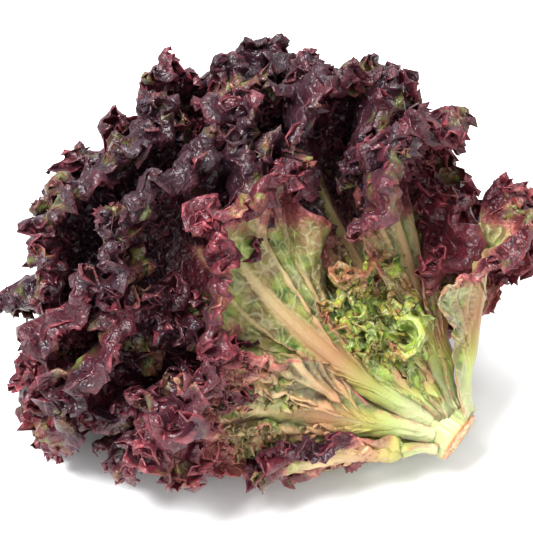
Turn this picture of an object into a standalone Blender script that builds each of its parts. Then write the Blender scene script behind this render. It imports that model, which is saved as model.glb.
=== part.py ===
"""A head of red curly lettuce lying on its side, in metres, +Z up.

The head is a rosette: a short cut stem, and leaves that spring from it in rings, each
wrapped round the head's axis, with a thick midrib and a frilled margin that curls
outwards. The innermost leaves are grown together as the heart. The origin is on the
table, below the middle of the head.
"""

import math

import bmesh
import bpy
import numpy as np
from mathutils import Vector

MM = 0.001

# The head's axis climbs from the cut stem, at the right front, to the crown, at the left back.
HEADING = math.radians(141.0)
RISE = math.radians(18.0)
CUT_CENTRE = np.array((75.8, -69.8, 25.0)) * MM

# The stem is a blunt cone. Leaves of the widest splay leave it next to the cut.
STEM_CUT_RADIUS = 12.6 * MM
STEM_TOP_RADIUS = 4.0 * MM
STEM_LENGTH = 27.0 * MM
STEM_BEVEL = 1.6 * MM
STEM_SIDES = 28
LEAF_GAP = 0.5 * MM

# A leaf's splay is the angle between its rib and the head's axis. The widest leaves spring
# from lowest down the stem. Each opens to its splay, then curls outwards towards its tip.
WIDEST_SPLAY = math.radians(60.0)
BASE_DROP = 0.86
BASE_SHARE = 0.62
OPEN_BY = 0.3
CURL_SPAN = (0.5, 1.15)
TABLE_ALLOWANCE = math.radians(12.0)
TABLE_SOFTNESS = 8.0

BLADE_THICKNESS = 1.1 * MM
RIB_THICKNESS = 4.8 * MM
RIB_WIDTH = 4.6 * MM
RIB_WIDTH_SHARES = (1.25, 0.3)
RIB_AT_BASE = 0.16
RIB_SWELLS = (0.02, 0.26)
RIB_FADES = (0.3, 0.95)
RIB_AT_TIP = 0.15
SPINE_END = 0.55
PATH_STEPS = 24

# The blade's margin from the tip to the stalk: its share of the angle that the leaf wraps,
# and of the length beyond the stalk. Then the stalk's, of the angle and of its own length.
BLADE_MARGIN = ((0.0, 1.0), (0.45, 0.96), (0.83, 0.8), (1.0, 0.56), (0.97, 0.32), (0.76, 0.12))
STALK_MARGIN = ((0.5, 1.0), (0.55, 0.5), (0.85, 0.0))

# The frill's waves are uneven: each drift has a size, a rate, and a share of the leaf's phase.
FRILL_HEIGHT = math.radians(2.8)
FRILL_FADE = (0.66, 0.9)
FRILL_FROM = 0.25
FRILL_RISE = 1.3
FRILL_DRIFTS = ((0.9, 2.6, 1.0), (0.5, 6.1, 2.0))
OVERLAP_LEAN = math.radians(3.0)
LEAF_ROWS = (0.0, 0.24, 0.52, 0.78, 1.0)
FUSED_ROWS = (0.0, 0.3, 0.7, 1.0)

# Each ring: splay, length and curl of its leaves in degrees and mm, then for each leaf its
# name, azimuth from the head's upper side towards the viewer, half angle that it wraps,
# sideways sweep, reach as a share of the length, stalk as a share of that, and colour.
RINGS = (
    (
        (64, 136, 46),
        ("right_leaf", -52, 36, -8, 0.98, 0.3, "mixed"),
    ),
    (
        (63.2, 148, 46),
        ("low_front_leaf", 111, 25, 0, 0.7, 0.22, "mixed"),
    ),
    (
        (60, 148, 46),
        ("resting_leaf", 176, 23, 0, 1.0, 0.22, "mixed"),
        ("low_back_leaf", -125, 28, 0, 1.0, 0.22, "red"),
    ),
    (
        (56, 172, 53),
        ("low_left_leaf", 122, 30, 0, 0.94, 0.22, "red"),
    ),
    (
        (48, 160, 60),
        ("top_leaf", -13, 40, 4, 0.96, 0.36, "red"),
        ("front_leaf", 82, 36, 2, 0.95, 0.2, "red"),
        ("back_leaf", -97, 37, 0, 1.0, 0.22, "red"),
    ),
    (
        (45, 150, 34),
        ("under_leaf", 180, 32, 0, 1.0, 0.22, "red"),
    ),
    (
        (36.5, 184, 56),
        ("branching_leaf", 51, 33, -24, 0.87, 0.2, "mixed"),
        ("middle_leaf_top", -42, 39, 0, 0.94, 0.22, "red"),
        ("middle_leaf_back", -135, 40, 0, 1.0, 0.22, "red"),
        ("middle_leaf_low", 128, 40, 0, 1.0, 0.22, "red"),
    ),
    (
        (28, 202, 54),
        ("inner_leaf_top", 2, 41, 0, 0.9, 0.2, "red"),
        ("inner_leaf_front", 88, 41, 0, 1.0, 0.2, "red"),
        ("inner_leaf_under", 180, 40, 0, 0.97, 0.2, "red"),
        ("inner_leaf_back", -86, 41, 0, 0.92, 0.2, "red"),
    ),
)
LEAF_WAVES = 7
LEAF_COLUMNS = 36
LEAF_PHASE_STEP = 1.7

# Leaves that are fused into one node: splay, length and curl of each, then the leaf.
YOUNG_LEAVES = (
    ((42.4, 160, 60), ("young_leaf", 2, 14, 0, 0.52, 0.16, "green")),
    ((43.8, 160, 60), ("young_leaf", 16, 14, 0, 0.6, 0.16, "green")),
    ((42.0, 160, 60), ("young_leaf", 28, 14, 0, 0.54, 0.16, "green")),
)
HEART_LEAVES = (
    ((18.5, 207, 52), ("heart_leaf", 55, 43, 0, 1.0, 0.2, "red")),
    ((17.5, 208, 50), ("heart_leaf", 146, 43, 0, 1.0, 0.2, "red")),
    ((17.5, 206, 52), ("heart_leaf", -124, 43, 0, 1.0, 0.2, "red")),
    ((19.0, 200, 52), ("heart_leaf", -35, 43, 0, 1.0, 0.2, "red")),
    ((12.5, 206, 50), ("heart_leaf", 5, 62, 0, 1.0, 0.2, "red")),
    ((11.0, 212, 50), ("heart_leaf", 124, 62, 0, 1.0, 0.2, "red")),
    ((12.0, 208, 50), ("heart_leaf", -112, 62, 0, 1.0, 0.2, "red")),
    ((5.0, 212, 46), ("heart_leaf", 50, 95, 0, 1.0, 0.2, "red")),
    ((6.0, 210, 46), ("heart_leaf", -130, 95, 0, 1.0, 0.2, "red")),
)
FUSED_WAVES = 6
FUSED_COLUMNS = 22
FUSED_PHASE_STEP = 2.1
YOUNG_PHASE = 1.0
FUSED_FRILL_HEIGHT = math.radians(1.6)
FUSED_MERGE = 0.03 * MM

# The heart's leaves are rooted in a turned core, given by its radius and height on the axis.
CORE_PROFILE = ((0, 28), (9.6, 28), (10.4, 36), (13, 70), (14, 110), (9, 140), (0, 152))
CORE_SIDES = 16

COLOURS = {
    "red": ((0.115, 0.016, 0.030), 0.42),
    "mixed": ((0.200, 0.050, 0.050), 0.45),
    "green": ((0.260, 0.330, 0.060), 0.48),
    "stem": ((0.560, 0.430, 0.220), 0.60),
}


def unit(vector):
    return vector / np.linalg.norm(vector)


def head_frame():
    """The head's axis, the direction across it that points up, and the level one."""
    level = np.array((math.cos(HEADING), math.sin(HEADING), 0.0))
    up = np.array((0.0, 0.0, 1.0))
    axis = math.cos(RISE) * level + math.sin(RISE) * up
    return axis, unit(up - math.sin(RISE) * axis), np.cross(up, level)


def smooth_step(low, high, value):
    share = np.clip((value - low) / (high - low), 0.0, 1.0)
    return share * share * (3.0 - 2.0 * share)


def curve_through(points, share):
    """A smooth curve through evenly spaced points, which leaves the first one level."""
    known = np.asarray(points, float)
    mirrored = known[1] * (-1.0, 1.0)
    known = np.vstack([mirrored, known, 2.0 * known[-1] - known[-2]])
    place = np.clip(share, 0.0, 1.0) * (len(points) - 1)
    first = np.minimum(place.astype(int), len(points) - 2)
    f = (place - first)[..., None]
    a, b, c, d = (known[first + k] for k in range(4))
    return b + 0.5 * f * ((c - a) + f * ((2 * a - 5 * b + 4 * c - d) + f * (3 * (b - c) + d - a)))


def table_share(azimuth):
    """How far the leaves can splay on each side of the head, less where the table is."""
    down = np.maximum(-np.cos(azimuth), 1e-3)
    limit = (np.arctan(math.tan(RISE) / down) + TABLE_ALLOWANCE) / WIDEST_SPLAY
    k = TABLE_SOFTNESS
    return -np.log(np.exp(-k) + np.exp(-k * limit)) / k


def base_place(splay):
    """Height and radius on the stem where leaves of a splay spring from it."""
    rank = splay / WIDEST_SPLAY
    height = STEM_LENGTH * (1.0 - BASE_DROP * rank)
    return height, STEM_TOP_RADIUS + (STEM_CUT_RADIUS - STEM_TOP_RADIUS) * rank + LEAF_GAP


def walk(splay, room, distance, length, curl):
    """Distance along and away from the axis, after walking up a leaf's rib from the stem."""
    stretch = np.linspace(0.0, 1.0, PATH_STEPS)
    share = distance[..., None] * stretch / length
    opened = BASE_SHARE + (1.0 - BASE_SHARE) * smooth_step(0.0, OPEN_BY, share)
    curled = curl * smooth_step(*CURL_SPAN, share)
    angle = (splay * room)[..., None] * opened + curled * (room**2)[..., None]
    step = distance / (PATH_STEPS - 1)

    def summed(values):
        return (values.sum(-1) - 0.5 * (values[..., 0] + values[..., -1])) * step

    height, radius = base_place(splay)
    return height + summed(np.cos(angle)), radius + summed(np.sin(angle))


def open_radius(splay, distance, length, curl):
    """How far from the axis a leaf is where the table leaves it room."""
    same = np.ones_like(distance)
    return walk(splay * same, same, distance, length, curl)[1]


def place(height, radius, azimuth):
    """Points in the room from heights and radii on the head's axis."""
    axis, up, side = head_frame()
    outward = np.cos(azimuth)[..., None] * up + np.sin(azimuth)[..., None] * side
    return CUT_CENTRE + height[..., None] * axis + radius[..., None] * outward


def flat_leaf(s, t, reach, wrap, stalk):
    """How far round the axis and up the leaf points are. s runs round the margin, t out from the rib."""
    margin = [(x * wrap, (stalk + y * (1.0 - stalk)) * reach) for x, y in BLADE_MARGIN]
    margin += [(x * wrap, y * stalk * reach) for x, y in STALK_MARGIN]
    edge = curve_through(margin, np.abs(s))
    spine = SPINE_END * reach * (1.0 - np.abs(s))
    return t * edge[..., 0] * np.sign(s), spine + t * (edge[..., 1] - spine)


def frill(s, t, waves, phase):
    """The wave of the margin, from -1 to 1, which dies away at the stalk and the rib."""
    drift = sum(size * np.sin(rate * s + share * phase) for size, rate, share in FRILL_DRIFTS)
    wave = np.sin(math.pi * waves * s + phase + drift)
    free = 1.0 - smooth_step(*FRILL_FADE, np.abs(s))
    return wave * free * smooth_step(FRILL_FROM, 1.0, t) ** FRILL_RISE


def rib_share(across, along, reach):
    """How much of the rib's thickness a point of the leaf has, from 0 to 1."""
    share = along / reach
    width = RIB_WIDTH * np.interp(share, (0.0, 1.0), RIB_WIDTH_SHARES)
    swell = RIB_AT_BASE + (1.0 - RIB_AT_BASE) * smooth_step(*RIB_SWELLS, share)
    fade = 1.0 - (1.0 - RIB_AT_TIP) * smooth_step(*RIB_FADES, share)
    return np.exp(-((across / width) ** 2)) * swell * fade


def leaf_points(s, t, ring, leaf, waves, frill_height, phase):
    """Where points of a leaf are in the room, and how thick its rib is there."""
    splay, length, curl = math.radians(ring[0]), ring[1] * MM, math.radians(ring[2])
    azimuth, wrap, sweep = (math.radians(x) for x in leaf[1:4])
    reach, stalk = leaf[4] * length, leaf[5]
    turn, along = flat_leaf(s, t, reach, wrap, stalk)
    across = turn * open_radius(splay, along, length, curl)
    around = azimuth + sweep * (along / reach) ** 2 + turn
    leaned = splay + OVERLAP_LEAN * turn + frill_height * frill(s, t, waves, phase)
    height, radius = walk(leaned, table_share(around), along, length, curl)
    return place(height, radius, around), rib_share(across, along, reach) * splay / WIDEST_SPLAY


def leaf_material(colour):
    name = "cut_stem" if colour == "stem" else f"{colour}_leaf"
    if name in bpy.data.materials:
        return bpy.data.materials[name]
    material = bpy.data.materials.new(name)
    material.use_nodes = True
    shader = material.node_tree.nodes["Principled BSDF"]
    base, roughness = COLOURS[colour]
    shader.inputs["Base Color"].default_value = (*base, 1.0)
    shader.inputs["Roughness"].default_value = roughness
    material.diffuse_color = (*base, 1.0)
    return material


def linked(name, mesh, collection, colour):
    obj = bpy.data.objects.new(name, mesh)
    collection.objects.link(obj)
    obj.data.materials.append(leaf_material(colour))
    return obj


def applied(obj):
    """The object with its modifiers made part of its mesh."""
    graph = bpy.context.evaluated_depsgraph_get()
    mesh = bpy.data.meshes.new_from_object(obj.evaluated_get(graph))
    obj.modifiers.clear()
    obj.vertex_groups.clear()
    obj.data = mesh
    return obj


def make_leaf(collection, ring, leaf, phase, fused=False):
    """A grid bent into a leaf, closed along its rib and given thickness on its outer side."""
    rows, columns, waves, frill_height = LEAF_ROWS, LEAF_COLUMNS, LEAF_WAVES, FRILL_HEIGHT
    if fused:
        rows, columns, waves, frill_height = FUSED_ROWS, FUSED_COLUMNS, FUSED_WAVES, FUSED_FRILL_HEIGHT
    bm = bmesh.new()
    bmesh.ops.create_grid(bm, x_segments=columns, y_segments=len(rows) - 1, size=0.5)
    s = np.array([2.0 * v.co.x for v in bm.verts])
    t = np.interp([v.co.y + 0.5 for v in bm.verts], np.linspace(0.0, 1.0, len(rows)), rows)
    points, rib = leaf_points(s, t, ring, leaf, waves, frill_height, phase)
    thickness = BLADE_THICKNESS + rib * (RIB_THICKNESS - BLADE_THICKNESS)
    points[:, 2] = np.maximum(points[:, 2], thickness)
    weights = bm.verts.layers.deform.verify()
    for v, point, thick in zip(bm.verts, points, thickness):
        v.co = point
        v[weights][0] = float(thick / RIB_THICKNESS)
    bmesh.ops.triangulate(bm, faces=bm.faces)
    bmesh.ops.remove_doubles(bm, verts=bm.verts, dist=0.01 * MM)
    mesh = bpy.data.meshes.new(leaf[0])
    bm.to_mesh(mesh)
    bm.free()
    obj = linked(leaf[0], mesh, collection, leaf[6])
    obj.vertex_groups.new(name="thickness")
    solid = obj.modifiers.new("thickness", "SOLIDIFY")
    solid.thickness = RIB_THICKNESS
    solid.offset = -1.0
    solid.vertex_group = "thickness"
    applied(obj)
    for v in obj.data.vertices:
        v.co.z = max(v.co.z, 0.0)
    obj.data.shade_smooth()
    return obj


def on_axis(obj):
    """Stands an object that was made along Z on the cut, along the head's axis."""
    axis, _, _ = head_frame()
    obj.location = CUT_CENTRE
    obj.rotation_mode = "QUATERNION"
    obj.rotation_quaternion = Vector(axis).to_track_quat("Z", "Y")


def make_core(collection):
    """The heart's core, a slim turned bud that its leaves are rooted in."""
    bm = bmesh.new()
    line = [bm.verts.new((radius * MM, 0.0, height * MM)) for radius, height in CORE_PROFILE]
    edges = [bm.edges.new(pair) for pair in zip(line, line[1:])]
    bmesh.ops.spin(
        bm,
        geom=line + edges,
        axis=(0.0, 0.0, 1.0),
        cent=(0.0, 0.0, 0.0),
        angle=math.tau,
        steps=CORE_SIDES,
    )
    bmesh.ops.remove_doubles(bm, verts=bm.verts, dist=0.01 * MM)
    bmesh.ops.recalc_face_normals(bm, faces=bm.faces)
    mesh = bpy.data.meshes.new("core")
    bm.to_mesh(mesh)
    bm.free()
    core = linked("core", mesh, collection, "red")
    on_axis(core)
    return core


def keep_largest_body(obj):
    """Drops the closed scraps and sealed hollows that a union of thin leaves leaves behind."""
    bm = bmesh.new()
    bm.from_mesh(obj.data)
    bmesh.ops.remove_doubles(bm, verts=bm.verts, dist=FUSED_MERGE)
    bodies = []
    left = set(bm.verts)
    while left:
        body = {left.pop()}
        newest = set(body)
        while newest:
            near = {e.other_vert(v) for v in newest for e in v.link_edges}
            newest = near - body
            body |= newest
        left -= body
        bodies.append(body)
    largest = max(bodies, key=len)
    bmesh.ops.delete(bm, geom=[v for v in bm.verts if v not in largest], context="VERTS")
    bm.to_mesh(obj.data)
    bm.free()


def make_fused(collection, name, leaves, phase, core=None):
    """Leaves that grow from each other, or from a core, as one body."""
    pieces = bpy.data.collections.new(f"{name}_pieces")
    bpy.context.scene.collection.children.link(pieces)
    if core is None:
        (ring, leaf), *leaves = leaves
        whole = make_leaf(collection, ring, leaf, phase, fused=True)
    else:
        whole = core(collection)
    for ring, leaf in leaves:
        phase += FUSED_PHASE_STEP
        make_leaf(pieces, ring, leaf, phase, fused=True)
    whole.name = name
    join = whole.modifiers.new("fused", "BOOLEAN")
    join.operation = "UNION"
    join.operand_type = "COLLECTION"
    join.collection = pieces
    join.solver = "MANIFOLD"
    applied(whole)
    for piece in list(pieces.objects):
        bpy.data.objects.remove(piece)
    bpy.data.collections.remove(pieces)
    keep_largest_body(whole)
    whole.data.shade_smooth()


def make_stem(collection):
    """The cut stem: a blunt cone with its axis along the head's."""
    bm = bmesh.new()
    bmesh.ops.create_cone(
        bm,
        cap_ends=True,
        segments=STEM_SIDES,
        radius1=STEM_CUT_RADIUS,
        radius2=STEM_TOP_RADIUS,
        depth=STEM_LENGTH,
    )
    bmesh.ops.translate(bm, verts=bm.verts, vec=(0.0, 0.0, STEM_LENGTH / 2))
    mesh = bpy.data.meshes.new("stem")
    bm.to_mesh(mesh)
    bm.free()
    stem = linked("stem", mesh, collection, "stem")
    on_axis(stem)
    bevel = stem.modifiers.new("worn_rim", "BEVEL")
    bevel.width = STEM_BEVEL
    bevel.segments = 2
    return stem


def main():
    for obj in list(bpy.data.objects):
        bpy.data.objects.remove(obj)
    collection = bpy.data.collections.new("red_curly_lettuce")
    bpy.context.scene.collection.children.link(collection)
    make_stem(collection)
    make_fused(collection, "heart", HEART_LEAVES, 0.0, core=make_core)
    make_fused(collection, "young_leaves", YOUNG_LEAVES, YOUNG_PHASE)
    phase = 0.0
    for ring, *leaves in RINGS:
        for leaf in leaves:
            make_leaf(collection, ring, leaf, phase)
            phase += LEAF_PHASE_STEP


main()
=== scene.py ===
"""The finished look of a head of red curly lettuce that lies on its side.

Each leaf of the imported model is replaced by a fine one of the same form: the same rosette
formula, with frills nested in frills along its margin, veins, and a thick midrib.
"""

import math
from collections import namedtuple
from functools import partial

import bmesh
import bpy
import numpy as np
from bpy.props import FloatProperty, FloatVectorProperty, IntProperty, PointerProperty
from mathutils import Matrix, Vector


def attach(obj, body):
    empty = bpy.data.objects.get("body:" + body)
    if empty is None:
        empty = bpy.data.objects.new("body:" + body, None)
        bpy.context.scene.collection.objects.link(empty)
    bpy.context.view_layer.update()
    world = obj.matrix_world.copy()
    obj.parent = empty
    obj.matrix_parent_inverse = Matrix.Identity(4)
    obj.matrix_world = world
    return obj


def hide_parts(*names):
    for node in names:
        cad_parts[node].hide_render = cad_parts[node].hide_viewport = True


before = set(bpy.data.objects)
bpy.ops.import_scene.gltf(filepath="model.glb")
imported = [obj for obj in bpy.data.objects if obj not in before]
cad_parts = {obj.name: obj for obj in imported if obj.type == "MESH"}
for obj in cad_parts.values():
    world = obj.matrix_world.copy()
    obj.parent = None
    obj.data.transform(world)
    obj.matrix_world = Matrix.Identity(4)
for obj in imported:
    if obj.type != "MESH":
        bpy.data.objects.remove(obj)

bl_info = {
    "name": "Red Curly Lettuce",
    "version": (1, 0, 0),
    "blender": (4, 5, 0),
    "location": "View3D > Sidebar > Lettuce",
    "description": "Makes a head of red curly lettuce from its leaves' formula",
    "category": "Add Mesh",
}

MM = 0.001
IMAGE_SIDE = 533
SENSOR = 36.0


def linear(colour):
    """The linear values of an sRGB hex colour such as #7a5a6a."""
    values = [int(colour[i : i + 2], 16) / 255.0 for i in (1, 3, 5)]
    return tuple(v / 12.92 if v <= 0.04045 else ((v + 0.055) / 1.055) ** 2.4 for v in values)


# The rosette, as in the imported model

HEADING = math.radians(141.0)
RISE = math.radians(18.0)
CUT_CENTRE = np.array((75.8, -69.8, 25.0)) * MM

STEM_CUT_RADIUS = 12.6 * MM
STEM_TOP_RADIUS = 4.0 * MM
STEM_LENGTH = 27.0 * MM
LEAF_GAP = 0.5 * MM

WIDEST_SPLAY = math.radians(60.0)
BASE_SHARE = 0.62
CURL_FROM = 0.5
CURL_TO = 1.15
OPENED_BY = 0.3
TABLE_ALLOWANCE = math.radians(12.0)
TABLE_SOFTNESS = 8.0
HIGHEST_BASE = 0.86
SPINE_END = 0.55
PATH_STEPS = 24

BLADE_MARGIN = ((0.0, 1.0), (0.45, 0.96), (0.83, 0.8), (1.0, 0.56), (0.97, 0.32), (0.76, 0.12))
STALK_MARGIN = ((0.5, 1.0), (0.55, 0.5), (0.85, 0.0))
STALK_FROM = 0.625

MAIN_WAVES = 7
MAIN_WAVE_HEIGHT = math.radians(2.8)
HEART_WAVES = 6
HEART_WAVE_HEIGHT = math.radians(1.6)
WAVE_FADE = (0.66, 0.9)
WAVE_RISE = (0.25, 1.0)
WAVE_POWER = 1.3
WAVE_DRIFT = ((0.9, 2.6, 1.0), (0.5, 6.1, 2.0))
OVERLAP_LEAN = math.radians(3.0)
RIB_WIDTH = 6.0 * MM
RIB_AT_BASE = 0.16

# A leaf: splay, length and curl of its ring in degrees and mm, azimuth, half angle that it
# wraps, sweep, reach and stalk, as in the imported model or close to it. Then from which share of
# its length it is red, how wide its red margin is in mm, how dark the red is, how much it is
# frilled, how far its margin rolls back in degrees, how far out its margin is as a share of the
# packed leaf's, and how many ruffles stand on its outer side. Last, for the sides of lower and
# of higher azimuth, where the frills end, as a share of the way from the tip to the stalk, and
# how wide the side is, and how stout the side veins are.
FORM_FIELDS = "splay length curl azimuth wrap sweep reach stalk"
LOOK_FIELDS = "bare red dark frill roll grow ruffles low_end high_end low_wide high_wide ribbed"
Leaf = namedtuple("Leaf", FORM_FIELDS + " " + LOOK_FIELDS, defaults=(0.8, 0.8, 1.0, 1.0, 1.0))
OUTER_LEAVES = {
    "right_leaf": Leaf(
        64, 136, 46, -31, 36, -34, 0.92, 0.3, 0.6, 14, 0.35, 0.9, 40, 0.84, 1, 0.8, 0.5, 1.3, 1.4, 1.3
    ),
    "low_front_leaf": Leaf(
        58, 148, 46, 97, 25, 0, 0.64, 0.22, 0.36, 20, 0.7, 0.7, 0, 0.84, 0, 0.5, 0.8, 0.6, 0.6, 1.42
    ),
    "resting_leaf": Leaf(60, 148, 46, 176, 23, 0, 1.0, 0.22, 0.5, 30, 0.5, 0.6, 10, 0.95, 1),
    "low_back_leaf": Leaf(60, 148, 46, -125, 28, 0, 1.0, 0.22, 0.5, 40, 0.6, 0.8, 40, 0.95, 4),
    "low_left_leaf": Leaf(54, 172, 53, 127, 26, 0, 0.88, 0.22, 0.5, 50, 0.6, 0.8, 0, 0.78, 3),
    "top_leaf": Leaf(
        48, 160, 60, -13, 40, 9, 0.96, 0.36, 0.62, 56, 0.7, 1.0, 50, 1.02, 5, 0.8, 0.4, 1.0, 0.65, 1.3
    ),
    "front_leaf": Leaf(
        48, 160, 60, 80, 36, 2, 0.95, 0.2, 0.66, 36, 0.5, 1.0, 15, 0.89, 5, 0.45, 0.6, 0.72, 0.66, 1.6
    ),
    "back_leaf": Leaf(48, 160, 60, -97, 37, 0, 1.0, 0.22, 0.5, 60, 0.6, 1.0, 60, 0.97, 5),
    "under_leaf": Leaf(45, 150, 34, 180, 32, 0, 1.0, 0.22, 0.5, 60, 0.6, 0.6, 10, 0.95, 1),
}
INNER_LEAVES = {
    "branching_leaf": Leaf(
        36.5, 184, 56, 54, 33, -24, 0.87, 0.36, 0.72, 24, 0.4, 1.0, 50, 0.96, 1, 0.35, 0.35, 1.0, 0.9, 1.2
    ),
    "middle_leaf_top": Leaf(36.5, 184, 56, -42, 39, 0, 0.94, 0.22, 0.5, 60, 0.9, 1.0, 50, 1.03, 5),
    "middle_leaf_back": Leaf(36.5, 184, 56, -135, 40, 0, 1.0, 0.22, 0.5, 60, 0.8, 1.0, 60, 0.97, 4),
    "middle_leaf_low": Leaf(36.5, 184, 56, 128, 40, 0, 1.0, 0.22, 0.5, 60, 0.6, 1.0, 30, 1.1, 4),
    "inner_leaf_top": Leaf(
        27.2, 202, 54, 2, 41, 0, 0.88, 0.2, 0.5, 60, 0.9, 1.0, 60, 1.06, 6, 0.8, 0.5, 1.0, 0.75
    ),
    "inner_leaf_front": Leaf(
        28, 202, 54, 87, 41, 0, 1.0, 0.2, 0.42, 80, 0.8, 1.0, 60, 1.03, 6, 0.8, 0.8, 0.8, 1.0
    ),
    "inner_leaf_under": Leaf(28, 202, 54, 180, 40, 0, 0.97, 0.2, 0.5, 60, 0.7, 0.8, 30, 0.97, 1),
    "inner_leaf_back": Leaf(28, 202, 54, -86, 41, 0, 0.92, 0.2, 0.5, 60, 0.9, 1.0, 60, 0.97, 5),
}
YOUNG_LEAVES = tuple(
    Leaf(splay, 160, 60, azimuth, 14, 0, reach, 0.16, 0.5, -8, 0.3, 0.8, 30, 0.95, 5, 0.8, end, ribbed=0.5)
    for splay, azimuth, reach, end in (
        (42.4, 6, 0.52, 0.8),
        (43.8, 20, 0.6, 0.8),
        (47.0, 14, 0.42, 0.8),
        (42.0, 32, 0.54, 0.45),
    )
)
HEART_LEAVES = tuple(
    Leaf(splay, length, curl, azimuth, wrap, 0, 1.0, 0.2, bare, red, 0.9, 1.0, 60, grow, ruffles)
    for splay, length, curl, azimuth, wrap, bare, red, grow, ruffles in (
        (18.5, 207, 52, 55, 43, 0.4, 90, 1.09, 8),
        (17.5, 208, 50, 146, 43, 0.5, 60, 1.1, 5),
        (17.5, 206, 52, -124, 43, 0.5, 60, 1.05, 3),
        (19.0, 200, 52, -22, 43, 0.5, 60, 1.06, 5),
        (12.5, 206, 50, 5, 62, 0.4, 90, 1.07, 7),
        (14.0, 212, 50, 128, 62, 0.5, 60, 1.09, 5),
        (12.0, 208, 50, -112, 62, 0.5, 60, 1.05, 2),
        (5.0, 212, 46, 50, 95, 0.5, 60, 1.03, 2),
        (6.0, 210, 46, -130, 95, 0.5, 60, 1.03, 1),
    )
)
# The heart's pieces, and which of its leaves are in each.
HEART_PIECES = (("outer", 0, 2), ("second", 2, 4), ("third", 4, 6), ("inner", 6, 9))

# A second leaf in a leaf's own piece, too close against it to be a solid of its own.
COMPANIONS = {
    "middle_leaf_top": Leaf(
        32, 190, 56, -12, 36, 0, 0.93, 0.22, 0.5, 60, 0.9, 1.0, 60, 1.06, 5, 0.8, 0.5, 1.0, 0.75
    ),
    "inner_leaf_front": Leaf(
        32, 190, 56, 92, 34, 0, 0.97, 0.22, 0.42, 80, 0.8, 1.0, 60, 1.06, 6, 0.8, 0.8, 0.84, 1.0
    ),
    "top_leaf": Leaf(
        50, 148, 55, -27, 27, -6, 0.72, 0.3, 0.6, 40, 0.5, 1.0, 40, 0.9, 3, 0.8, 0.5, 1.0, 1.0, 1.3
    ),
    "inner_leaf_top": Leaf(27, 196, 56, 46, 36, 0, 1.0, 0.2, 0.42, 80, 0.9, 1.0, 60, 1.0, 6),
    "middle_leaf_low": Leaf(42, 172, 56, 105, 32, 0, 0.88, 0.22, 0.5, 50, 0.6, 1.0, 30, 1.0, 5),
    "front_leaf": Leaf(
        42, 168, 56, 90, 30, 0, 0.86, 0.22, 0.62, 50, 0.5, 1.0, 20, 0.86, 4, 0.3, 0.8, 1.0, 0.7
    ),
}

# The phase of each leaf's main waves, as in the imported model, and its seed.
PHASE_STEP = 1.7
HEART_PHASE_STEP = 2.1
SEED_STEP = 10
COMPANION_SEED = 300
HEART_SEED = 500
YOUNG_SEED = 700
HEART_NOISE = 60
YOUNG_NOISE = 70

# Each frill rides on the one before: its wavelength, height and depth inwards from the
# margin in mm, and how far its folds lean back over their necks, as a share of the wavelength.
Frill = namedtuple("Frill", "length height depth neck")
FRILLS = (Frill(27.0, 3.6, 46.0, 0.04), Frill(10.5, 3.9, 30.0, 0.07))
OUTWARD_BIAS = 0.2
FRILL_FALL = 1.6
TIP_MARGIN = (0.3, 0.56)
SIDE_FRILL = 0.5
FRILL_FADE = 0.2

# How uneven the folds are: by how much each trait varies, in radians or as a share, and how
# long the waves of that are, in wavelengths of the frill or in mm.
FRILL_DRIFT = (1.3, 3.3)
FRILL_TWIST = (1.5, 1.5)
FRILL_DEPTHS = (0.25, 2.7)
FRILL_HEIGHTS = (0.35, 1.9)
ROLL_DEPTHS = (0.25, 60.0)
ROLL_TURNS = (0.35, 45.0)
RUFFLE_INSETS = (0.3, 38.0)
RUFFLE_HEIGHTS = (0.3, 24.0)
RUFFLE_TURNS = (0.45, 17.0)

# From which to which share of the noise's scale its waves are long.
LINE_WAVES = (0.6, 1.9)
SPACE_WAVES = (0.6, 1.7)

ROLL_DEPTH = 40.0 * MM
TOOTH_HEIGHT = 2.4 * MM
TOOTH_LENGTHS = (0.3, 1.0)
TOOTH_BEND = 0.4
TOOTH_UNFRILLED = 0.2
RIM = (0.2 * MM, 2.0 * MM)

# Ruffles stand on a leaf's outer side, the first one on its margin: how far each is from the
# margin and how tall it is in mm, and the angles to the leaf at its root and its rim.
Ruffle = namedtuple("Ruffle", "inset height root rim")
MARGIN_RUFFLE = Ruffle(1.0, 6.8, 0.0, 70.0)
RUFFLES = tuple(
    Ruffle(inset, 6.8, 35.0, rim)
    for rim, insets in ((100.0, (6.0, 12.5, 19.5)), (95.0, (27.0, 35.0, 44.0, 54.0, 65.0)))
    for inset in insets
)
RUFFLE_ROWS = 4
RUFFLE_FROM = 0.02
RUFFLE_FOOT = 0.6 * MM
RUFFLE_LOWEST = 0.35
RUFFLE_RISE = 1.6
FINE_SPACING = 0.6 * MM
SPACING = 0.8 * MM
RUFFLE_FRILLS = (
    Frill(15.0, 2.0, 12.0, 0.04),
    Frill(6.4, 2.5, 10.0, 0.07),
    Frill(3.3, 1.5, 7.5, 0.06),
)
YOUNG_SCALE = 0.55

# Columns of a leaf's mesh round its margin. Its rows, from the rib to the margin: up to which
# share of the way out, how many, and the step between the columns used.
COLUMNS = 256
YOUNG_COLUMNS = 128
BLADE_COLUMNS = 0.8
BACK_SHOWS = ((0.62, 26, 1), (1.0, 13, 1))
BACK_HIDDEN = ((0.45, 5, 8), (0.7, 5, 4), (0.85, 4, 2), (1.0, 6, 1))
SHOWN_BACKS = ("right_leaf", "low_front_leaf", "top_leaf", "front_leaf", "branching_leaf")
FINE_RUFFLES = (*SHOWN_BACKS, "low_left_leaf", "middle_leaf_low", "inner_leaf_top", "inner_leaf_front")

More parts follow.
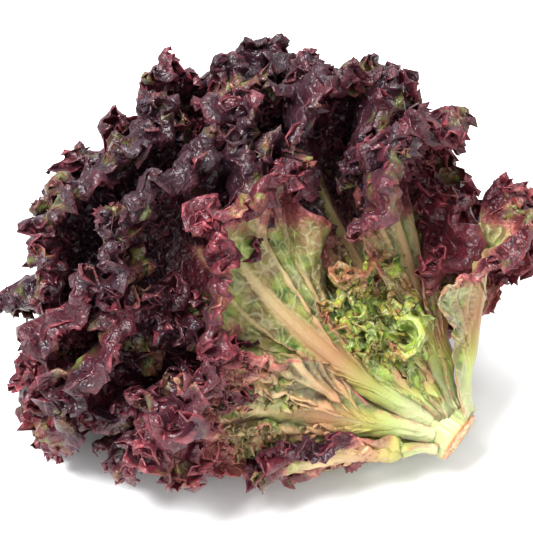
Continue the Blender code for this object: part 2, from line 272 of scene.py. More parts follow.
# The midrib. It fades towards the tip, and earlier where the side veins are stout. Its width
# falls from its base to the tip, and its height swells from its base.
RIB_HEIGHT = 6.0 * MM
RIB_FULL_SPLAY = 60.0
RIB_FADE = (0.3, 0.95)
RIB_LOSS = 0.85
STOUT_VEINS = (1.2, 1.6)
STOUT_FADE = (0.22, 0.5)
STOUT_LOSS = 0.6
RIB_WIDTHS = (1.3, 1.15)
RIB_SWELL = (0.02, 0.26)
RIB_ROUND = (1.2, 2.4)

# The side veins, from where they reach the margin back to where they leave the midrib.
VEINS_A_SIDE = 4
FIRST_VEIN = 0.55
LAST_VEIN = 0.93
VEIN_SCATTER = 0.2
VEIN_LAG = 0.55
VEIN_LAGS = (0.8, 1.2)
VEIN_BEND = 1.7
VEIN_ROOT = 0.66
VEIN_THINS = (0.05, 1.0)
VEIN_TAPER = 0.8
STOUT_TAPER = 0.3
VEIN_TIP = 0.3
VEIN_FORK = 0.05
FORK_FROM = 0.3
FORK_FULL = 0.5
FORK_HEIGHT = 0.6
VEIN_WIDTH = 2.9 * MM
VEIN_HEIGHT = 3.6 * MM
VEINS_END = (0.6, 0.95)
VEINS_BEGIN = (0.05, 0.2)

BLISTER_SIZE = 11.0 * MM
BLISTER_HEIGHT = 1.1 * MM
BLISTERS_BEGIN = (0.1, 0.4)

# The red: heights and sizes of its patches in mm, how soft its edge is in mm, by how many mm
# the veins and the midrib push it out, and the same for where it begins along the leaf.
RED_PATCHES = ((9.0, 34.0), (3.0, 8.0))
RED_EDGE = (12.0, 14.0)
VEINS_SPARED = 9.0
RIB_SPARED = 30.0
BARE_PATCHES = (0.06, 20.0)
BARE_EDGE = (0.12, 0.14)

# Where the skin has a vein's colour, is crinkled, and has painted shade deep between stout veins.
VEIN_LOOK = (0.1, 0.6)
SMOOTH_VEINS = (0.9, 0.4)
SMOOTH_REACH = 1.5
CRINKLES_BEGIN = (0.12, 0.4)
RECESS_SHADE_BANKS = (0.05, 0.45)
RECESS_SHADE_BEGINS = (0.12, 0.3)

TABLE_CLEARANCE = 5.0 * MM
WELD = 0.002 * MM

# The cut stem's outline, from its top inside the head over its rim to the middle of the cut:
# height on the axis and radius in mm, and how much of the cut's look it has.
STEM_OUTLINE = (
    *((26.0, 4.0, 0.0), (20.0, 7.4, 0.0), (12.0, 11.0, 0.0), (6.0, 12.6, 0.0), (3.0, 12.7, 0.0)),
    *((1.5, 12.5, 0.2), (0.6, 12.4, 0.6), (0.1, 12.0, 0.9), (-0.1, 11.5, 1.0), (0.1, 10.9, 1.0)),
    *((0.5, 10.0, 1.0), (0.6, 8.8, 1.0), (0.3, 7.4, 1.0), (0.5, 5.8, 1.0), (0.8, 4.0, 1.0)),
    (0.9, 2.2, 1.0),
)
STEM_ENDS = (26.5, 0.8)
STEM_COLUMNS = 120
# Ridges down the stem's side: height as a share of its radius, how many, and their phase.
STEM_RIDGES = ((0.035, 5, 0.8), (0.02, 11.0, 2.0), (0.01, 29.0, 0.0))
FULL_RIDGES_FROM = 12.0
CUT_UNEVEN = 0.3
CUT_HEIGHTS = 0.35
CUT_RADIUS = 12.5

# The vein bundles that show as beads in the cut.
BUNDLE_RING = 8.4 * MM
BUNDLE_DRIFT = 0.9 * MM
BUNDLE_SIZES = (0.6, 1.25)
BUNDLE_LIFT = 0.75 * MM
BUNDLE_MARK = 2.0

# The skin's patterns: how large each is in mm, and its detail.
LEAF_PATTERNS = {
    "area": (41.67, 1.0),
    "blotch": (16.67, 3.0),
    "patch": (5.882, 3.0),
    "crinkle": (3.333, 2.0),
    "fine": (1.4286, 3.0),
    "thin": (23.81, 2.0),
}
STEM_PATTERNS = {"stain": (3.846, 3.0), "grain": (1.111, 3.0)}
FIBRE_SIZE = 1.25
FIBRE_STRETCH = 5.0
BEND_SIZE = 11.11 * MM
BEND_REACH = 12.0 * MM

# The net of veinlets: the size of its cells, and from which distance to a cell's edge to
# which it comes in, and how strong it gets.
VEINLET_CELL = 8.333 * MM
VEINLET = (0.11, 0.01, 0.45)

# Layers of colour, from below to above: what drives a layer, from and to which value of that
# it comes in, how strong it gets, and its colour.
GREEN_LAYERS = (
    ("patch", 0.38, 0.62, 1.0, "green"),
    ("blotch", 0.4, 0.64, 0.65, "tinge"),
    ("cells", *VEINLET, "veinlet"),
)
RIB_LAYERS = (
    ("along", 0.12, 0.36, 1.0, "rib_middle"),
    ("along", 0.36, 0.62, 1.0, "rib"),
    ("fibre", 0.5, 0.75, 0.4, "tinge"),
)
BLADE_LAYERS = (
    ("vein", 0.0, 1.0, 1.0, "whole_rib"),
    # Painted shade in the recesses between stout veins.
    ("recess", 0.0, 1.0, 0.68, "hollow"),
    ("along", 0.22, 0.04, 1.0, "stalk"),
    ("level", 0.05, 0.5, 1.0, "blush"),
    ("level", 0.4, 0.85, 1.0, "whole_red"),
)
FADED_LAYERS = (("patch", 0.48, 0.6, 1.0, "green"),)
RED_LAYERS = (
    ("shade", 1.7, 2.7, 1.0, "dark"),
    ("thin", 0.56, 0.7, 0.48, "faded"),
)
FLESH_LAYERS = (
    ("stain", 0.35, 0.7, 0.7, "browned"),
    ("edge", 0.95, 1.25, 1.0, "browned"),
    ("cut", 1.0, 1.5, 0.5, "browned"),
)
RIND_LAYERS = (
    ("stain", 0.55, 0.75, 0.35, "browned"),
    ("cut", 0.1, 0.6, 1.0, "flesh"),
)

# What makes the red darker or lighter, and how much.
SHADES = (("area", 1.6), ("blotch", 1.2), ("patch", 0.8), ("outer_side", -0.35))
RED_SPREAD = 0.9
RED_LEVEL = 0.45
# Painted glow of light through the thin rim of a red frill: in which patches it shows, and how it fades
# where the red is darker.
RIM_GLOW_PATCHES = (0.4, 0.6)
RIM_GLOW_SHADES = (3.0, 1.7)

# Painted shade in the hollows of the crinkles: where it is, and how dark it is in green and in red.
HOLLOWS = (0.56, 0.38)
HOLLOWS_IN_RED = (0.2, 0.7)
HOLLOW_DARKNESS = (0.35, 0.1)
CRINKLED_SHARE = (0.85, 0.15)

# How much each pattern adds to the relief of the skin.
FINE_RELIEF = 0.35
VEINLET_RELIEF = 0.35
FIBRE_RELIEF = 0.25
GRAIN_RELIEF = 0.4
STAIN_AT_EDGE = 0.5
GLOW = 0.33

LEAF_COLOURS = {
    "green": ("#9fb455", "The blade near the ribs"),
    "deep_green": ("#4a6c2a", "Green patches of the blade"),
    "tinge": ("#a87a62", "Pink and brown in the green blade"),
    "rib_base": ("#abc655", "Ribs next to the cut stem"),
    "stalk": ("#c3c995", "Leaves where they leave the stem"),
    "veinlet": ("#dbd9a6", "The fine net of veins in the blade"),
    "rib_middle": ("#b98d64", "Ribs where they are thickest"),
    "rib": ("#cfb885", "Ribs and veins"),
    "blush": ("#ab5f5b", "Where the red begins"),
    "red": ("#6b202b", "Light red of the margin"),
    "dark": ("#29131e", "Darkest red of the margin"),
    # The rim colour is the frill's own crimson edge, painted brighter as a painted glow of light through the
    # thin rim.
    "rim": ("#b44d57", "The thin edge of a red frill"),
    # The colour of the hollows is painted shade, laid deep in the crinkles and between stout veins.
    "hollow": ("#3f1f27", "Deep in the crinkles of the red skin"),
    "bloom": ("#c99bab", "The waxy bloom on the skin"),
    "russet": ("#8a5a33", "Brown that shows through thin red"),
}
OTHER_COLOURS = {
    "rind": ("#989f6c", "Outside of the cut stem"),
    "pith": ("#d9bd8f", "Middle of the cut"),
    "browned": ("#9a6236", "Where the cut has browned"),
    "young_green": ("#badb49", "The young leaves"),
    "young_edge": ("#8e5238", "The young leaves' brown edge"),
}

# The studio: each light's place and side in m, and its power in W.
LIGHTS = (
    ("key", (-0.45, -0.45, 0.95), 0.45, 28.0),
    ("top", (0.1, 0.4, 1.1), 0.6, 9.0),
    ("fill", (0.1, -0.85, 0.5), 0.6, 3.0),
)
LIT_POINT = (0.0, 0.0, 0.06)
SKY = 1.05
FLOOR_HALF = 4.0
FLOOR_COLOUR = "#f6f6f7"
FLOOR_ROUGHNESS = 0.9


def unit(vectors):
    return vectors / (np.linalg.norm(vectors, axis=-1, keepdims=True) + 1e-12)


def smooth_step(low, high, value):
    share = np.clip((value - low) / (high - low), 0.0, 1.0)
    return share * share * (3.0 - 2.0 * share)


def head_frame():
    """The head's axis, the direction across it that points up, and the level one."""
    level = np.array((math.cos(HEADING), math.sin(HEADING), 0.0))
    up = np.array((0.0, 0.0, 1.0))
    axis = math.cos(RISE) * level + math.sin(RISE) * up
    return axis, unit(up - math.sin(RISE) * axis), np.cross(up, level)


def curve_through(points, share):
    """A smooth curve through evenly spaced points, which leaves the first one level."""
    known = np.asarray(points, float)
    mirrored = known[1] * (-1.0, 1.0)
    known = np.vstack([mirrored, known, 2.0 * known[-1] - known[-2]])
    at = np.clip(share, 0.0, 1.0) * (len(points) - 1)
    first = np.minimum(at.astype(int), len(points) - 2)
    f = (at - first)[..., None]
    a, b, c, d = (known[first + k] for k in range(4))
    return b + 0.5 * f * ((c - a) + f * ((2 * a - 5 * b + 4 * c - d) + f * (3 * (b - c) + d - a)))


def table_share(azimuth):
    """How far the leaves can splay on each side of the head, less where the table is."""
    down = np.maximum(-np.cos(azimuth), 1e-3)
    limit = (np.arctan(math.tan(RISE) / down) + TABLE_ALLOWANCE) / WIDEST_SPLAY
    k = TABLE_SOFTNESS
    return -np.log(np.exp(-k) + np.exp(-k * limit)) / k


def walk(splay, room, distance, length, curl):
    """Distance along and away from the axis, after walking up a leaf's rib from the stem."""
    stretch = np.linspace(0.0, 1.0, PATH_STEPS)
    share = distance[..., None] * stretch / length
    opened = BASE_SHARE + (1.0 - BASE_SHARE) * smooth_step(0.0, OPENED_BY, share)
    curled = curl * smooth_step(CURL_FROM, CURL_TO, share)
    angle = (splay * room)[..., None] * opened + curled * (room**2)[..., None]
    step = distance / (PATH_STEPS - 1)

    def summed(values):
        return (values.sum(-1) - 0.5 * (values[..., 0] + values[..., -1])) * step

    rank = splay / WIDEST_SPLAY
    height = STEM_LENGTH * (1.0 - HIGHEST_BASE * rank)
    radius = STEM_TOP_RADIUS + (STEM_CUT_RADIUS - STEM_TOP_RADIUS) * rank + LEAF_GAP
    return height + summed(np.cos(angle)), radius + summed(np.sin(angle))


def place(height, radius, azimuth):
    """Points in the room from heights and radii on the head's axis."""
    axis, up, side = head_frame()
    outward = np.cos(azimuth)[..., None] * up + np.sin(azimuth)[..., None] * side
    return CUT_CENTRE + height[..., None] * axis + radius[..., None] * outward


def wander(values, rng, scale, terms=4):
    """Smooth noise between about -1 and 1 along a line, whose waves are about scale long."""
    total = np.zeros_like(values)
    for _ in range(terms):
        total += np.sin(values * math.tau / (scale * rng.uniform(*LINE_WAVES)) + rng.uniform(0.0, math.tau))
    return total / math.sqrt(2.0 * terms)


def wander_over(points, rng, scale, terms=7):
    """Smooth noise between about -1 and 1 through space, whose waves are about scale long."""
    total = np.zeros(points.shape[:-1])
    for _ in range(terms):
        direction = unit(rng.normal(size=3)) * math.tau / (scale * rng.uniform(*SPACE_WAVES))
        total += np.sin(points @ direction + rng.uniform(0.0, math.tau))
    return total / math.sqrt(2.0 * terms)


def varied(line, rng, amount, length, scale=MM):
    """Factors round 1 along a line, which vary by about amount over about length times scale."""
    return 1.0 + amount * wander(line, rng, length * scale)


def rows_of(bands):
    """Each row's share of the way from the rib to the margin, and its step between columns."""
    shares, steps, start = [0.0], [bands[0][2]], 0.0
    for end, count, step in bands:
        shares += list(np.linspace(start, end, count + 1)[1:])
        steps += [step] * count
        start = end
    return np.array(shares), steps


def directions(points):
    """Unit vectors along the margin, out from the rib, and across the leaf to its outer side."""
    along = unit(np.gradient(points, axis=1))
    out = unit(np.gradient(points, axis=0))
    normal = unit(np.cross(out, along))
    normal[0] = normal[1]
    return along, out, normal


def rib_profile(across, along, reach, scale, ribbed):
    """How high the midrib stands, from 0 to 1."""
    share = along / reach
    fade = RIB_LOSS * smooth_step(*RIB_FADE, share)
    stout = smooth_step(*STOUT_VEINS, ribbed)
    fade = np.maximum(fade, STOUT_LOSS * stout * smooth_step(*STOUT_FADE, share))
    width = scale * RIB_WIDTH * (RIB_WIDTHS[0] - RIB_WIDTHS[1] * np.clip(share, 0.0, 1.0))
    swell = RIB_AT_BASE + (1.0 - RIB_AT_BASE) * smooth_step(*RIB_SWELL, share)
    rounded = np.exp(-RIB_ROUND[0] * np.abs(across / width) ** RIB_ROUND[1])
    return rounded * swell * (1.0 - fade)


def vein_profile(s, t, span, ribbed, rng):
    """How high the side veins stand, from 0 to 1. span is the length in m of a unit of s."""
    height = np.zeros_like(s)
    stout = smooth_step(*STOUT_VEINS, ribbed)
    for side in (-1.0, 1.0):
        for k in range(VEINS_A_SIDE):
            scatter = rng.uniform(-VEIN_SCATTER, VEIN_SCATTER)
            end = (k + FIRST_VEIN + scatter) / VEINS_A_SIDE * STALK_FROM
            lag = VEIN_LAG * rng.uniform(*VEIN_LAGS)
            lag += (VEIN_ROOT - end - lag) * stout
            middle = np.minimum(end + lag * (1.0 - t) ** VEIN_BEND, LAST_VEIN)
            taper = 1.0 - (VEIN_TAPER - STOUT_TAPER * stout) * smooth_step(*VEIN_THINS, t)
            width = VEIN_WIDTH * ribbed * (VEIN_TIP + (1.0 - VEIN_TIP) * taper)
            for fork in (-1.0, 0.0, 1.0):
                line = side * (middle + fork * VEIN_FORK * smooth_step(FORK_FROM, 1.0, t))
                away = np.abs(s - line) * span / width
                share = taper
                if fork:
                    share = FORK_HEIGHT * taper * smooth_step(FORK_FROM, FORK_FULL, t)
                height = np.maximum(height, share * np.exp(-(away**3)))
    return height


def rolled(points, from_edge, free, rng, round_margin, roll):
    """Rolls the margin back over the leaf's outer side, without stretching it."""
    _, _, normal = directions(points)
    lengths = np.linalg.norm(np.diff(points, axis=0), axis=-1)
    depth = ROLL_DEPTH * varied(round_margin, rng, *ROLL_DEPTHS)
    turned = math.radians(roll) * np.clip(1.0 - from_edge / depth, 0.0, 1.0) * free
    turned = turned * varied(round_margin, rng, *ROLL_TURNS)
    middle = 0.5 * (turned[1:] + turned[:-1])[..., None]
    steps = unit(np.diff(points, axis=0))
    across = unit(0.5 * (normal[1:] + normal[:-1]))
    moved = lengths[..., None] * (np.cos(middle) * steps + np.sin(middle) * across)
    return np.concatenate([points[:1], points[:1] + np.cumsum(moved, axis=0)])


def frilled(points, from_edge, round_margin, free, rng, frills):
    """Lays frill upon frill along a margin."""
    for frill in frills:
        along_margin, _, normal = directions(points)
        wavelength = frill.length * MM
        drift = FRILL_DRIFT[0] * wander(round_margin, rng, FRILL_DRIFT[1] * wavelength)
        twist = FRILL_TWIST[0] * wander_over(points, rng, FRILL_TWIST[1] * wavelength)
        angle = math.tau * round_margin / wavelength + drift + twist
        depth = frill.depth * MM * varied(round_margin, rng, *FRILL_DEPTHS, wavelength)
        strength = np.clip(1.0 - from_edge / depth, 0.0, 1.0) ** FRILL_FALL * free
        strength = strength * varied(round_margin, rng, *FRILL_HEIGHTS, wavelength)
        lift = strength * frill.height * MM * (np.sin(angle) + OUTWARD_BIAS)
        lean = strength * frill.neck * wavelength * np.sin(2.0 * angle)
        points = points + normal * lift[..., None] - along_margin * lean[..., None]
    return points


def toothed(points, from_edge, free, rng):
    """Cuts a margin into small uneven teeth, one on every other column."""
    _, out, normal = directions(points)
    columns = points.shape[1]
    tooth = rng.uniform(*TOOTH_LENGTHS, columns) * (np.arange(columns) % 2)
    bend = rng.uniform(-TOOTH_BEND, TOOTH_BEND, columns) * tooth
    near = TOOTH_HEIGHT * np.clip(1.0 - from_edge / TOOTH_HEIGHT, 0.0, 1.0)
    near = near * (TOOTH_UNFRILLED + (1.0 - TOOTH_UNFRILLED) * free)
    return points + out * (near * tooth)[..., None] + normal * (near * bend)[..., None]


def ruffle(points, values, from_edge, round_margin, free, size, spacing, scale, rng):
    """A fold that stands out of a leaf's outer side like one more frilled edge."""
    kept = np.flatnonzero(free[0] > RUFFLE_FROM)
    _, out, normal = directions(points)
    line = round_margin[0, kept]
    inset = scale * size.inset * MM * varied(line, rng, *RUFFLE_INSETS)
    rows = np.arange(len(points), dtype=float)
    row = np.array([np.interp(d, from_edge[::-1, c], rows[::-1]) for d, c in zip(inset, kept)])
    first = np.minimum(row.astype(int), len(points) - 2)
    share = row - first
    along = np.linspace(line[0], line[-1], int((line[-1] - line[0]) / spacing))

    def at_root(field):
        part = share.reshape((-1,) + (1,) * (field.ndim - 2))
        known = field[first, kept] * (1.0 - part) + field[first + 1, kept] * part
        if field.ndim == 2:
            return np.interp(along, line, known)
        return np.stack([np.interp(along, line, known[:, axis]) for axis in range(3)], -1)

    way = np.linspace(0.0, 1.0, RUFFLE_ROWS + 1)[:, None]
    free = at_root(free)[None, :] * np.ones_like(way)
    round_margin = along[None, :] * np.ones_like(way)
    tall = scale * size.height * MM * varied(round_margin, rng, *RUFFLE_HEIGHTS)
    tall = tall * np.minimum(RUFFLE_RISE * free, RUFFLE_LOWEST + (1.0 - RUFFLE_LOWEST) * free)
    turned = np.radians(size.root + way * (size.rim - size.root))
    turned = turned + RUFFLE_TURNS[0] * wander(round_margin, rng, RUFFLE_TURNS[1] * MM)
    step = np.cos(turned)[..., None] * unit(at_root(out)) + np.sin(turned)[..., None] * unit(at_root(normal))
    step = step * (tall / RUFFLE_ROWS)[..., None]
    step[0] = -RUFFLE_FOOT * at_root(normal)
    sheet = at_root(points) + np.cumsum(step, axis=0)
    below_rim = (1.0 - way) * tall
    frills = [Frill(scale * f.length, scale * f.height, scale * f.depth, f.neck) for f in RUFFLE_FRILLS]
    sheet = frilled(sheet, below_rim, round_margin, free, rng, frills)
    sheet = toothed(sheet, below_rim, free, rng)
    sheet_values = {key: at_root(value)[None, :] * np.ones_like(way) for key, value in values.items()}
    for key in ("vein", "rib_height", "recess"):
        sheet_values[key] = np.zeros_like(below_rim)
    sheet_values["crinkled"] = np.ones_like(below_rim)
    sheet_values["rim"] = rim_share(below_rim)
    return sheet, sheet_values, [1] * (RUFFLE_ROWS + 1), False


def rim_share(from_edge):
    """How near the margin a point is, from 1 on it to 0 well inside."""
    return 1.0 - smooth_step(*RIM, from_edge)


def leaf_grids(leaf, phase, columns, seed, heart=False, bands=BACK_HIDDEN, spacing=SPACING, scale=1.0):
    """A fine leaf and its ruffles: points in rows out to the margin, and what the material reads."""
    rng = np.random.default_rng(seed)
    shares, steps = rows_of(bands)
    u = np.linspace(-1.0, 1.0, columns + 1)
    s = np.interp(u, (-1.0, -BLADE_COLUMNS, BLADE_COLUMNS, 1.0), (-1.0, -STALK_FROM, STALK_FROM, 1.0))
    s, t = np.meshgrid(s, shares)
    tip = 1.0 - smooth_step(*TIP_MARGIN, np.abs(s))
    grown = t * (1.0 + (leaf.grow - 1.0) * tip)
    length, reach = leaf.length * MM, leaf.reach * leaf.length * MM
    splay, curl, azimuth, wrap, sweep = (
        math.radians(x) for x in (leaf.splay, leaf.curl, leaf.azimuth, leaf.wrap, leaf.sweep)
    )

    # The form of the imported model's leaf.
    margin = [(x * wrap, (leaf.stalk + y * (1.0 - leaf.stalk)) * reach) for x, y in BLADE_MARGIN]
    margin += [(x * wrap, y * leaf.stalk * reach) for x, y in STALK_MARGIN]
    edge = curve_through(margin, np.abs(s))
    spine = SPINE_END * reach * (1.0 - np.abs(s))
    wide = np.where(s < 0.0, leaf.low_wide, leaf.high_wide)
    turn, along = grown * edge[..., 0] * np.sign(s) * wide, spine + grown * (edge[..., 1] - spine)
    same = np.ones_like(along)
    across = turn * walk(splay * same, same, along, length, curl)[1]
    around = azimuth + sweep * (along / reach) ** 2 + turn
    waves, wave_height = (HEART_WAVES, HEART_WAVE_HEIGHT) if heart else (MAIN_WAVES, MAIN_WAVE_HEIGHT)
    drift = sum(size * np.sin(often * s + times * phase) for size, often, times in WAVE_DRIFT)
    wave = np.sin(math.pi * waves * s + phase + drift) * (1.0 - smooth_step(*WAVE_FADE, np.abs(s)))
    leaned = splay + OVERLAP_LEAN * turn + wave_height * wave * smooth_step(*WAVE_RISE, t) ** WAVE_POWER
    points = place(*walk(leaned, table_share(around), along, length, curl), around)

    # How far each point is from the margin, along the leaf.
    steps_out = np.linalg.norm(np.diff(points, axis=0), axis=-1)
    from_edge = np.vstack([np.cumsum(steps_out[::-1], axis=0)[::-1], np.zeros(columns + 1)])
    steps_round = np.linalg.norm(np.diff(points[-1], axis=0), axis=-1)
    round_margin = np.concatenate([[0.0], np.cumsum(steps_round)])[None, :] * np.ones_like(t)
    span = np.linalg.norm(np.gradient(points, axis=1), axis=-1) / np.abs(np.gradient(s, axis=1))
    points = rolled(points, from_edge, tip, rng, round_margin, leaf.roll)

    rib = rib_profile(across, along, reach, scale * (0.5 + 0.5 * leaf.ribbed), leaf.ribbed)
    vein = vein_profile(s, t, span, leaf.ribbed, rng) * (1.0 - smooth_step(*VEINS_END, np.abs(s)))
    vein = vein * smooth_step(*VEINS_BEGIN, t)
    raised = np.maximum(vein, rib)

    # Blisters between the veins.
    _, _, normal = directions(points)
    blister = wander_over(points, rng, BLISTER_SIZE) * (1.0 - vein) * (1.0 - rib)
    points = points + normal * (BLISTER_HEIGHT * blister * smooth_step(*BLISTERS_BEGIN, t))[..., None]

    end = np.where(s < 0.0, leaf.low_end, leaf.high_end)
    free = 1.0 - smooth_step(end - FRILL_FADE, end, np.abs(s))
    free = free * (SIDE_FRILL + (1.0 - SIDE_FRILL) * tip) * leaf.frill
    points = frilled(points, from_edge, round_margin, free, rng, FRILLS)

    patchy = from_edge / MM
    for height, size in RED_PATCHES:
        patchy = patchy + height * wander_over(points, rng, size * MM)
    spared = patchy + VEINS_SPARED * vein + RIB_SPARED * rib
    red = 1.0 - smooth_step(leaf.red - RED_EDGE[0], leaf.red + RED_EDGE[1], spared)
    share = along / reach + BARE_PATCHES[0] * wander_over(points, rng, BARE_PATCHES[1] * MM)
    red = red * smooth_step(leaf.bare - BARE_EDGE[0], leaf.bare + BARE_EDGE[1], share)
    crinkled = smooth_step(*SMOOTH_VEINS, SMOOTH_REACH * raised)
    # Painted shade between stout veins, away from the veins and the midrib.
    shaded_recess = smooth_step(*STOUT_VEINS, leaf.ribbed) * (1.0 - smooth_step(*RECESS_SHADE_BANKS, raised))
    rib_height = RIB_HEIGHT * rib * leaf.splay / RIB_FULL_SPLAY
    values = {
        "red": red,
        "vein": smooth_step(*VEIN_LOOK, raised),
        "crinkled": crinkled * smooth_step(*CRINKLES_BEGIN, along / reach / scale),
        "dark": np.full_like(red, leaf.dark),
        "along": along / reach,
        "across": across / MM,
        "rim": rim_share(from_edge),
        "recess": shaded_recess * smooth_step(*RECESS_SHADE_BEGINS, along / reach),
        "rib_height": np.maximum(rib_height, VEIN_HEIGHT * leaf.ribbed * vein),
    }
    grids = [(points, values, steps, True)]
    grids.append(ruffle(points, values, from_edge, round_margin, free, MARGIN_RUFFLE, spacing, scale, rng))
    upper = np.minimum(free, tip * leaf.frill)
    for size in RUFFLES[: leaf.ruffles]:
        grids.append(ruffle(points, values, from_edge, round_margin, upper, size, spacing, scale, rng))
    return grids


def grid_mesh(name, grids):
    """One mesh of all the leaves' grids, coarser towards the ribs, each closed along its rib."""
    places, faces, values = [], [], {}
    base = 0
    for points, leaf_values, steps, folded in grids:
        columns = points.shape[1] - 1
        numbers = []
        for row, step in enumerate(steps):
            kept = np.arange(0, columns + 1, step)
            places.append(points[row, kept])
            for key, value in leaf_values.items():
                values.setdefault(key, []).append(value[row, kept])
            numbers.append(base + np.arange(len(kept)))
            base += len(kept)
        if folded:
            numbers[0] = np.minimum(numbers[0], numbers[0][::-1])
        for low, high in zip(numbers, numbers[1:]):
            if len(low) == len(high):
                faces += np.stack([low[:-1], high[:-1], high[1:], low[1:]], 1).tolist()
            else:
                a, b = low[:-1], low[1:]
                c, d, e = high[0:-1:2], high[1::2], high[2::2]
                faces += np.stack([a, c, d], 1).tolist()
                faces += np.stack([a, d, b], 1).tolist()
                faces += np.stack([b, d, e], 1).tolist()
    faces = [f for f in faces if len(set(f)) == len(f)] + [
        [v for i, v in enumerate(f) if v != f[i - 1]] for f in faces if len(set(f)) == 3 < len(f)
    ]
    mesh = bpy.data.meshes.new(name)
    mesh.from_pydata(np.concatenate(places).tolist(), [], faces)
    for key, value in values.items():
        mesh.attributes.new(key, "FLOAT", "POINT").data.foreach_set("value", np.concatenate(value))
    mesh.validate()
    bm = bmesh.new()
    bm.from_mesh(mesh)
    bmesh.ops.delete(bm, geom=[v for v in bm.verts if not v.link_faces], context="VERTS")
    bm.to_mesh(mesh)
    bm.free()
    return mesh


# Nodes that are used often: Blender's name, its settings, the inputs its values go to in turn,
# and the output that is used.
SHORT_KINDS = {
    "mix": ("ShaderNodeMix", {"data_type": "RGBA"}, ("Factor", "A", "B"), "Result"),
    "ramp": ("ShaderNodeMapRange", {}, ("Value", "From Min", "From Max", "To Max"), 0),
    "noise": ("ShaderNodeTexNoise", {}, ("Vector", "Scale", "Detail"), 0),
    "vector_scale": ("ShaderNodeVectorMath", {"operation": "SCALE"}, ("Vector", "Scale"), 0),
    "vector_add": ("ShaderNodeVectorMath", {"operation": "ADD"}, (0, 1), 0),
    "vector_subtract": ("ShaderNodeVectorMath", {"operation": "SUBTRACT"}, (0, 1), 0),
    **{
        operation.lower(): ("ShaderNodeMath", {"operation": operation}, (0, 1, 2), 0)
        for operation in ("ADD", "SUBTRACT", "MULTIPLY", "DIVIDE", "MULTIPLY_ADD")
    },
}


def put(tree, kind, *values, output=0, **settings):
    """Adds a node with its settings, sets or links its inputs, and returns one of its outputs.

    kind is one of SHORT_KINDS, or Blender's name of a node, whose inputs are then in a dict.
    """
    inputs = values[0] if values else {}
    if kind in SHORT_KINDS:
        kind, settings, names, output = SHORT_KINDS[kind]
        inputs = dict(zip(names, values))
    node = tree.nodes.new(kind)
    for name, value in settings.items():
        setattr(node, name, value)
    for name, value in inputs.items():
        if isinstance(value, bpy.types.NodeSocket):
            tree.links.new(value, node.inputs[name])
        else:
            node.inputs[name].default_value = value
    return node.outputs[output] if node.outputs else None


def new_group(name, sockets):
    """A geometry node tree with named inputs: the tree, what adds a node, and its inputs."""
    tree = bpy.data.node_groups.new(name, "GeometryNodeTree")
    tree.interface.new_socket("Geometry", in_out="OUTPUT", socket_type="NodeSocketGeometry")
    for label, kind in (("Geometry", "Geometry"), *sockets, ("Finish", "Material")):
        tree.interface.new_socket(label, in_out="INPUT", socket_type="NodeSocket" + kind)
    add = partial(put, tree)
    return tree, add, add("NodeGroupInput").node.outputs


def end_group(add, geometry, finish):
    """The last nodes of a tree: smooth and real, with its material."""
    smooth = add("GeometryNodeSetShadeSmooth", {"Geometry": geometry})
    real = add("GeometryNodeRealizeInstances", {"Geometry": smooth})
    painted = add("GeometryNodeSetMaterial", {"Geometry": real, "Material": finish})
    add("NodeGroupOutput", {"Geometry": painted})


def leaf_finish_tree():
    """The node tree that crinkles a leaf's surface and gives it its thickness."""
    name = "leaf_finish"
    if name in bpy.data.node_groups:
        return bpy.data.node_groups[name]
    sizes = ("Blade Thickness", "Crinkle Height", "Crinkle Size")
    tree, add, given = new_group(name, (*((size, "Float") for size in sizes), ("Seed", "Int")))
    scale = add("divide", 1.0, given["Crinkle Size"])
    waves = {"W": given["Seed"], "Scale": scale, "Detail": 1.0, "Roughness": 0.5}
    noise = add("ShaderNodeTexNoise", waves, noise_dimensions="4D")
    height = add("multiply", add("subtract", noise, 0.5), given["Crinkle Height"])
    rib, crinkled = (
        add("GeometryNodeInputNamedAttribute", {"Name": key}, data_type="FLOAT")
        for key in ("rib_height", "crinkled")
    )
    normal = add("GeometryNodeInputNormal")
    push = add("vector_scale", normal, add("multiply", height, crinkled))
    offset = add("vector_scale", normal, add("add", rib, given["Blade Thickness"]))
    captured = add("GeometryNodeCaptureAttribute", {"Geometry": given["Geometry"]}, domain="POINT").node
    captured.capture_items.new("VECTOR", "Outward")
    tree.links.new(offset, captured.inputs["Outward"])
    skin = add("GeometryNodeSetPosition", {"Geometry": captured.outputs["Geometry"], "Offset": push})
    inner = add("GeometryNodeFlipFaces", {"Mesh": skin})
    pulled = {"Mesh": skin, "Offset Scale": 0.0, "Individual": False}
    shell = add("GeometryNodeExtrudeMesh", pulled, mode="FACES").node.outputs
    lifted = {"Geometry": shell["Mesh"], "Selection": shell["Top"], "Offset": captured.outputs["Outward"]}
    raised = add("GeometryNodeSetPosition", lifted)
    mark = {"Geometry": raised, "Selection": shell["Top"], "Name": "outer_side", "Value": 1.0}
    marked = add("GeometryNodeStoreNamedAttribute", mark, data_type="FLOAT", domain="POINT")
    whole = add("GeometryNodeJoinGeometry", {"Geometry": marked})
    tree.links.new(inner, whole.node.inputs[0])
    closed = add("GeometryNodeMergeByDistance", {"Geometry": whole, "Distance": WELD})
    end_group(add, closed, given["Finish"])
    return tree


def run_tree(piece, tree, wanted):
    """Runs a node tree on a piece with the wanted inputs, and keeps what it makes as a plain mesh."""
    modifier = piece.modifiers.new(tree.name, "NODES")
    modifier.node_group = tree
    for item in tree.interface.items_tree:
        if item.in_out == "INPUT" and item.name in wanted:
            modifier[item.identifier] = wanted[item.name]
    made_plain(piece)


def finished_leaf(name, grids, material, seed, nodes):
    """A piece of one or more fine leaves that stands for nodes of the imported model."""
    head = bpy.context.scene.lettuce_head
    piece = bpy.data.objects.new(name, grid_mesh(name, grids))
    bpy.context.scene.collection.objects.link(piece)
    wanted = {
        "Blade Thickness": head.blade_thickness,
        "Crinkle Height": head.crinkle_height,
        "Crinkle Size": head.crinkle_size,
        "Seed": seed,
        "Finish": material,
    }
    run_tree(piece, leaf_finish_tree(), wanted)
    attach(piece, "root")
    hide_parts(*nodes)
    return piece


